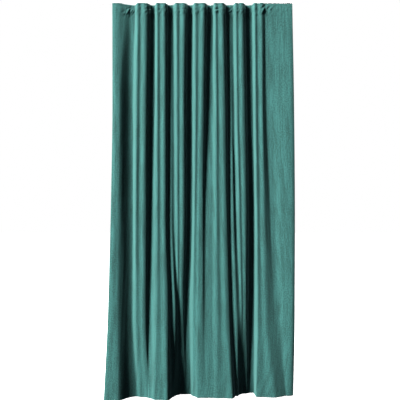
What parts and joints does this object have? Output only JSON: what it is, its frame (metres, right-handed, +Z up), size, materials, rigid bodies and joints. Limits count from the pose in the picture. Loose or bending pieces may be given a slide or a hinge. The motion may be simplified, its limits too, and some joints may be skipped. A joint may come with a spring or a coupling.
{
  "type": "velvet curtain with ceiling track",
  "caption": "Full-length pleated velvet curtain hung by glider hooks from a plain white ceiling track, its soft folds deepening towards the hem.",
  "frame": {"origin": "middle of the track's flat top face, which meets the ceiling", "axes": "+Z up, out of the track's top face; +X along the track to the right as seen from the front; the curtain's front faces -Y"},
  "size_m": [1.24, 0.1675, 2.484],
  "materials": {
    "velvet": "teal cut-pile velvet, soft sheen, faintly streaked down the drop",
    "tape": "white woven polyester tape, matt",
    "track": "white satin enamel on extruded aluminium",
    "nylon": "white moulded nylon, satin"
  },
  "bodies": {
    "root": {"velvet_panel": "velvet", "heading_tape": "tape", "track": "track", "end_cap_left": "nylon", "end_cap_right": "nylon", "glider_hook_01": "nylon", "glider_hook_02": "nylon", "glider_hook_03": "nylon", "glider_hook_04": "nylon", "glider_hook_05": "nylon", "glider_hook_06": "nylon", "glider_hook_07": "nylon", "glider_hook_08": "nylon", "glider_hook_09": "nylon", "glider_hook_10": "nylon"}
  },
  "joints": []
}
